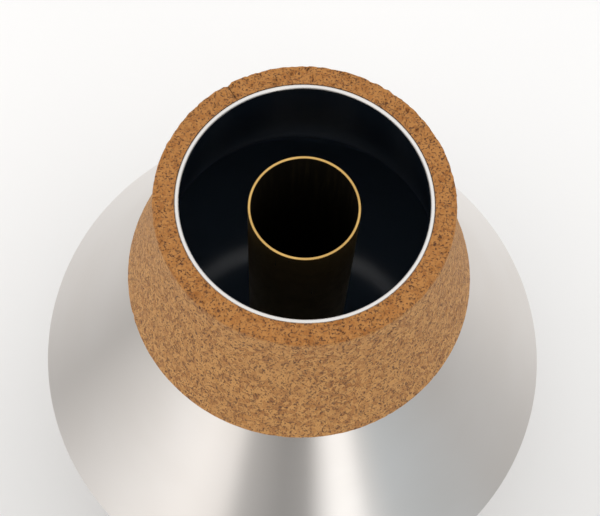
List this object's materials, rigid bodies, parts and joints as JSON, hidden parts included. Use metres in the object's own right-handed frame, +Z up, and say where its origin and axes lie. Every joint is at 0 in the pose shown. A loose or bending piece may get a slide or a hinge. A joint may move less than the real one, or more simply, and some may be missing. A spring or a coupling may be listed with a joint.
{
  "type": "trumpet wah-wah mute",
  "caption": "Wah-wah mute for trumpet: spun metal cone and pan with a cork collar, and a brass stem with a cup that slides in a cork-lined guide.",
  "frame": {"origin": "on the floor under the mute's axis, in the plane of the stem cup's foot", "axes": "+Z up along the mute's axis, from the cup's foot to the cork end; +X and +Y are across it, and the butt joint of the cork lies 115 degrees from +X towards +Y"},
  "size_m": [0.1076, 0.1076, 0.1299],
  "materials": {
    "spun_aluminium": "satin, spun, with a dark inside",
    "turned_aluminium": "fine turned",
    "cork": "agglomerated cork, sanded side and rough ends",
    "brass": "drawn and polished, slightly darkened"
  },
  "bodies": {
    "mute_body": {"body_cone": "spun_aluminium", "base_pan": "spun_aluminium", "cork_collar": "cork", "guide_collar": "turned_aluminium", "guide_lining": "cork"},
    "stem": {"stem_tube": "brass", "stem_cup": "brass"}
  },
  "joints": [
    {"name": "stem_slide", "type": "slide", "parent": "mute_body", "child": "stem", "axis": [0, 0, -1], "range_m": [0, 0.11]}
  ]
}
